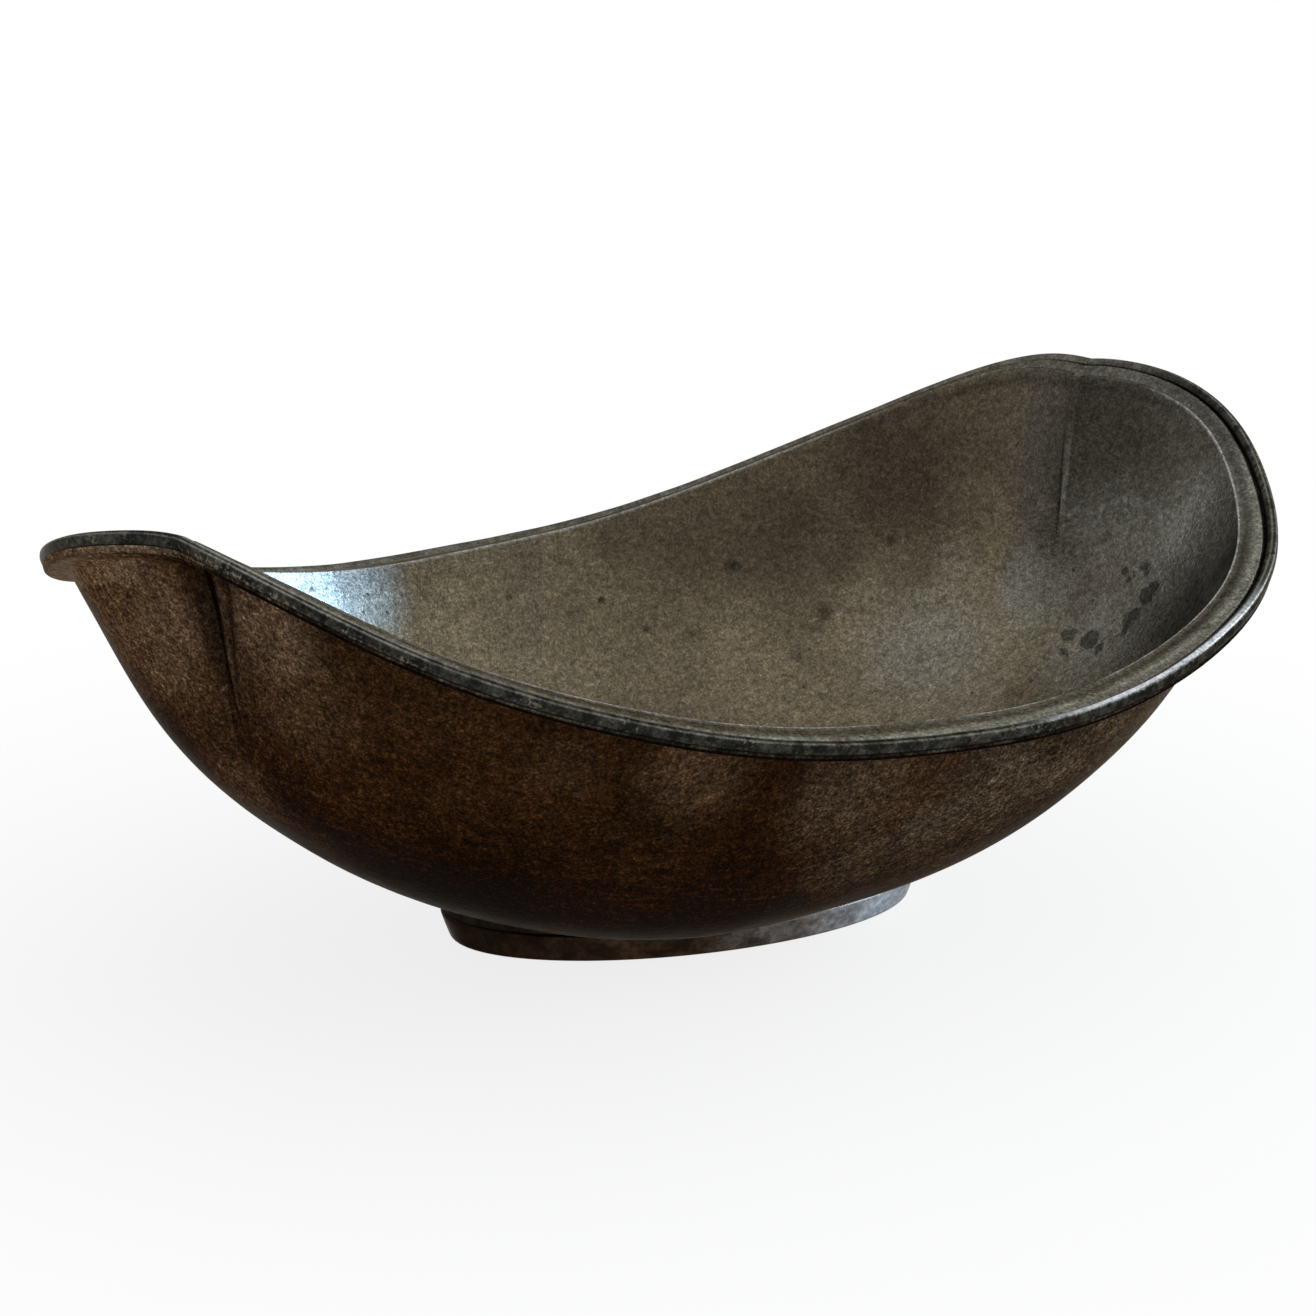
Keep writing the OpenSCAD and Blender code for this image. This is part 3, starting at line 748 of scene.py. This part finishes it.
def wire_patina():
    """Rim wire: dark tarnish with paler flecks on its outer face, pale along its edges, partly wear
    and partly painted highlight; paler over the top on the back lip, and polished on the front
    lip's far end, with a bright highlight painted along its top."""
    f = Finish("tarnished_rim_wire")
    across, up, pale, polish_and_highlight = f.mark("across"), f.mark("up"), f.mark("pale_top"), f.mark("polish_and_highlight")
    mottle = f.noise(420, 4, 0.68)
    flecks = f.noise(1100, 3, 0.6, at=(0.6, 0.3, 0.9))
    patches = f.noise(120, 4, 0.6, at=(0.2, 0.8, 0.3))
    grain = f.noise(1800, 3, 0.65)
    skin = f.blend(mottle.step(0.40, 0.64), (0.0100, 0.0100, 0.0085), (0.0400, 0.0390, 0.0330))
    skin = f.blend(flecks.step(0.56, 0.66) * (0.25 + 0.6 * patches.step(0.46, 0.58)), skin,
                   (0.115, 0.104, 0.076))
    over = f.blend(mottle.step(0.40, 0.64), (0.075, 0.068, 0.056), (0.128, 0.120, 0.100))
    skin = f.blend(pale * across.step(0.86, 0.70).either(up.step(0.90, 0.99)) * 0.95, skin, over)
    # pale lines along the wire's top edges: partly wear, partly painted highlight
    inner_wear_and_highlight = across.band(0.46, 0.15) * up.step(0.90, 0.98) * (1 - pale)
    outer_wear_and_highlight = across.band(0.90, 0.13) * up.band(0.88, 0.12)
    outer_wear_and_highlight = outer_wear_and_highlight * (1 - f.along("X").step(0.082, 0.092) * 0.7)
    wear_and_painted_light = inner_wear_and_highlight.either(outer_wear_and_highlight) * (0.35 + 0.65 * mottle.step(0.40, 0.52))
    skin = f.blend(wear_and_painted_light * 0.75, skin, (0.210, 0.202, 0.178))
    rubbed = f.mark("rubbed")
    stripes = across.band(0.50, 0.20).either(across.band(0.88, 0.12) * 0.7)
    skin = f.blend(rubbed * stripes * up.step(0.80, 0.90) * (0.6 + 0.4 * mottle.step(0.38, 0.56)),
                   skin, (0.290, 0.280, 0.255))
    skin = f.blend(rubbed * up.step(0.60, 0.40) * grain.step(0.50, 0.62) * patches.step(0.40, 0.56) * 0.7,
                   skin, (0.150, 0.134, 0.080))
    # the window's highlight painted bluish white along the top of the front lip's far end
    bright = polish_and_highlight * across.step(0.40, 0.56) * across.step(0.94, 0.82) * up.step(0.80, 0.92)
    skin = f.blend(bright * 0.92, skin, (0.62, 0.66, 0.70))
    # a paler fringe of the painted highlight beside it
    beside = polish_and_highlight * across.step(0.14, 0.30) * across.step(0.56, 0.40)
    skin = f.blend(beside * 0.6, skin, (0.13, 0.135, 0.135))
    skin = f.blend((1 - pale) * across.step(0.18, 0.04) * 0.75, skin, (0.0120, 0.0115, 0.0100))
    skin = f.blend(up.step(0.16, 0.02) * 0.5, skin, (0.0080, 0.0060, 0.0050))
    nick = f.spots(f.place, [(28.6, -60.2, 47.5, 1.2, 1)])
    skin = f.blend(nick * 0.8, skin, (0.55, 0.55, 0.52))
    skin = f.times(skin, 1 + (grain - 0.5) * 2.4)
    rough = 0.34 + (mottle - 0.5) * 0.3 + (patches - 0.5) * 0.15 - bright * 0.12
    return f.done(skin, rough, mottle * 0.4 + grain * 0.3, metallic=0.93, strength=0.3, depth=0.0004,
                  edge=(0.5, 0.48, 0.45))


def foot_patina():
    """Foot ring: brown and dark towards the -X end, partly tarnish and partly a painted reflection of a
    dark table, and bluer grey towards the +X end, a painted reflection of a window-lit table, with a
    painted shadow under its top and a painted highlight along the lip above it."""
    f = Finish("aged_pewter_foot")
    height, along = f.mark("height"), f.along("X")
    mottle = f.noise(200, 5, 0.7)
    grain = f.noise(900, 3, 0.68)
    streak = f.noise(110, 4, 0.65, stretch=(1.6, 1.6, 5), at=(0.1, 0.5, 0.9))
    shift = (streak - 0.5) * 0.016 + (mottle - 0.5) * 0.012
    brown = f.blend(along.step(-0.034, -0.016),
                    f.blend(mottle.step(0.38, 0.66), (0.0060, 0.0026, 0.0012), (0.0170, 0.0080, 0.0040)),
                    f.blend(mottle.step(0.38, 0.66), (0.0130, 0.0064, 0.0030), (0.0400, 0.0225, 0.0125)))
    grey = f.blend(mottle.step(0.38, 0.66), (0.080, 0.070, 0.062), (0.150, 0.142, 0.138))
    painted_reflection = f.blend(mottle.step(0.38, 0.66), (0.255, 0.292, 0.333), (0.405, 0.460, 0.520))
    # towards +X the grey and then the bluer grey are painted reflections of a window-lit table
    skin = f.blend((along + shift).step(-0.004, 0.017), brown, grey)
    skin = f.blend((along + shift).step(0.014, 0.031), skin, painted_reflection)
    # painted shadow under the foot's top, where the bowl's bottom overhangs it
    skin = f.blend(height.step(0.95, 1.0) * 0.85, skin, (0.010, 0.007, 0.005))
    # painted highlight along the lip, on the +X side only
    skin = f.blend(height.band(0.88, 0.06) * 0.35 * along.step(-0.004, 0.014), skin, (0.26, 0.25, 0.23))
    skin = f.blend(height.step(0.14, 0.0) * 0.6, skin, (0.012, 0.009, 0.007))
    skin = f.times(skin, 1 + (grain - 0.5) * 1.8)
    rough = 0.34 + (mottle - 0.5) * 0.3
    return f.done(skin, rough, mottle * 0.4 + grain * 0.3, metallic=0.9, strength=0.3, depth=0.0005,
                  edge=(0.5, 0.48, 0.46))


def solder_patina():
    """Dull solder, dirt-stained and darkened further as painted shadow under the bowl."""
    f = Finish("dull_solder")
    mottle = f.noise(260, 5, 0.65)
    skin = f.blend(mottle.step(0.35, 0.7), (0.0045, 0.0028, 0.0018), (0.018, 0.012, 0.008))
    return f.done(skin, 0.5 + (mottle - 0.5) * 0.3, mottle, metallic=0.8, strength=0.4, depth=0.0004,
                  edge=(0.4, 0.36, 0.32))


def dress(piece, material, slot_name, *nodes):
    piece.data.materials.append(material)
    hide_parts(*nodes)
    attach(piece, root)


dress(bowl_body(), bowl_patina(), "bowl_body", "bowl_body")
wire_finish = wire_patina()
dress(rim_wire("rim_wire_front_skin", 0), wire_finish, "rim_wire", "rim_wire_front")
dress(rim_wire("rim_wire_back_skin", 1), wire_finish, "rim_wire", "rim_wire_back")
dress(foot_ring(), foot_patina(), "foot_ring", "foot_ring")
dress(foot_solder(), solder_patina(), "foot_solder", "foot_solder")


# ---- floor, light and camera ------------------------------------------------------------------
def seen_directly(nodes, links):
    """1 for camera, glossy and transmission rays, 0 for the diffuse light of the scene."""
    path = nodes.new("ShaderNodeLightPath")
    total = path.outputs["Is Camera Ray"]
    for ray in ("Is Glossy Ray", "Is Transmission Ray"):
        most = nodes.new("ShaderNodeMath")
        most.operation = "MAXIMUM"
        links.new(total, most.inputs[0])
        links.new(path.outputs[ray], most.inputs[1])
        total = most.outputs[0]
    return total


def floor():
    """A pale floor that keeps the bowl's soft shadow near it and is plain white further off."""
    size = 6.0
    mesh = bpy.data.meshes.new("pale_floor")
    mesh.from_pydata([(-size, -size, 0), (size, -size, 0), (size, size, 0), (-size, size, 0)], [],
                     [(0, 1, 2, 3)])
    piece = bpy.data.objects.new("pale_floor", mesh)
    bpy.context.scene.collection.objects.link(piece)
    f = Finish("pale_floor")
    mesh.materials.append(f.done((0.9, 0.9, 0.9, 1), 0.9, metallic=0.0))
    away = f.add("ShaderNodeVectorMath", {"operation": "LENGTH"}, [f.place], "Value")
    share = Wire(f, seen_directly(f.nodes, f.links)) * (0.82 + away.step(0.06, 0.22) * 0.18)
    glow = f.add("ShaderNodeEmission", {}, {"Color": (1, 1, 1, 1), "Strength": 1.0})
    mix = f.nodes.new("ShaderNodeMixShader")
    f.links.new(share.socket, mix.inputs[0])
    f.links.new(f.shader.outputs[0], mix.inputs[1])
    f.links.new(glow.socket, mix.inputs[2])
    f.links.new(mix.outputs[0], f.nodes["Material Output"].inputs["Surface"])


def soft_light(name, centre, aim, width, height, power, colour):
    """A soft box of a width (level) and height at centre, facing aim, all in metres."""
    lamp = bpy.data.lights.new(name, "AREA")
    lamp.shape, lamp.size, lamp.size_y = "RECTANGLE", width, height
    lamp.energy, lamp.color = power, colour
    piece = bpy.data.objects.new(name, lamp)
    piece.location = centre
    to = np.array(aim, float) - np.array(centre, float)
    level = math.hypot(to[0], to[1])
    piece.rotation_euler = (math.atan2(level, -to[2]), 0, math.atan2(to[1], to[0]) - math.pi / 2)
    bpy.context.scene.collection.objects.link(piece)


def world():
    """Even pale light, plain white to the camera and in reflections."""
    w = bpy.data.worlds.new("studio")
    bpy.context.scene.world = w
    w.use_nodes = True
    nodes, links = w.node_tree.nodes, w.node_tree.links
    back = nodes["Background"]
    back.inputs["Color"].default_value = (1, 1, 1, 1)
    mix = nodes.new("ShaderNodeMix")
    links.new(seen_directly(nodes, links), mix.inputs[0])
    mix.inputs[2].default_value, mix.inputs[3].default_value = 0.6, 1.0
    links.new(mix.outputs[0], back.inputs["Strength"])


floor()
world()
soft_light("window", (1.15, 0.0, 0.52), (0, 0, 0.04), 1.6, 0.42, 13, (0.80, 0.92, 1.0))
soft_light("fill", (-0.6, -1.2, 1.1), (0, 0, 0.04), 1.2, 1.2, 0.6, (1.0, 0.95, 0.88))

lens = bpy.data.cameras.new("camera")
lens.sensor_width, lens.sensor_fit = 36.0, "AUTO"
lens.lens = 85.6258
lens.clip_start, lens.clip_end = 0.01, 50
camera = bpy.data.objects.new("camera", lens)
eye, aim = np.array([-0.14553, -0.44702, 0.19400]), np.array([-0.00304, 0.00341, 0.04227])
camera.location = eye
to = aim - eye
camera.rotation_euler = (math.atan2(math.hypot(to[0], to[1]), -to[2]), 0,
                         math.atan2(to[1], to[0]) - math.pi / 2)
bpy.context.scene.collection.objects.link(camera)
bpy.context.scene.camera = camera
bpy.context.scene.view_settings.view_transform = "Standard"
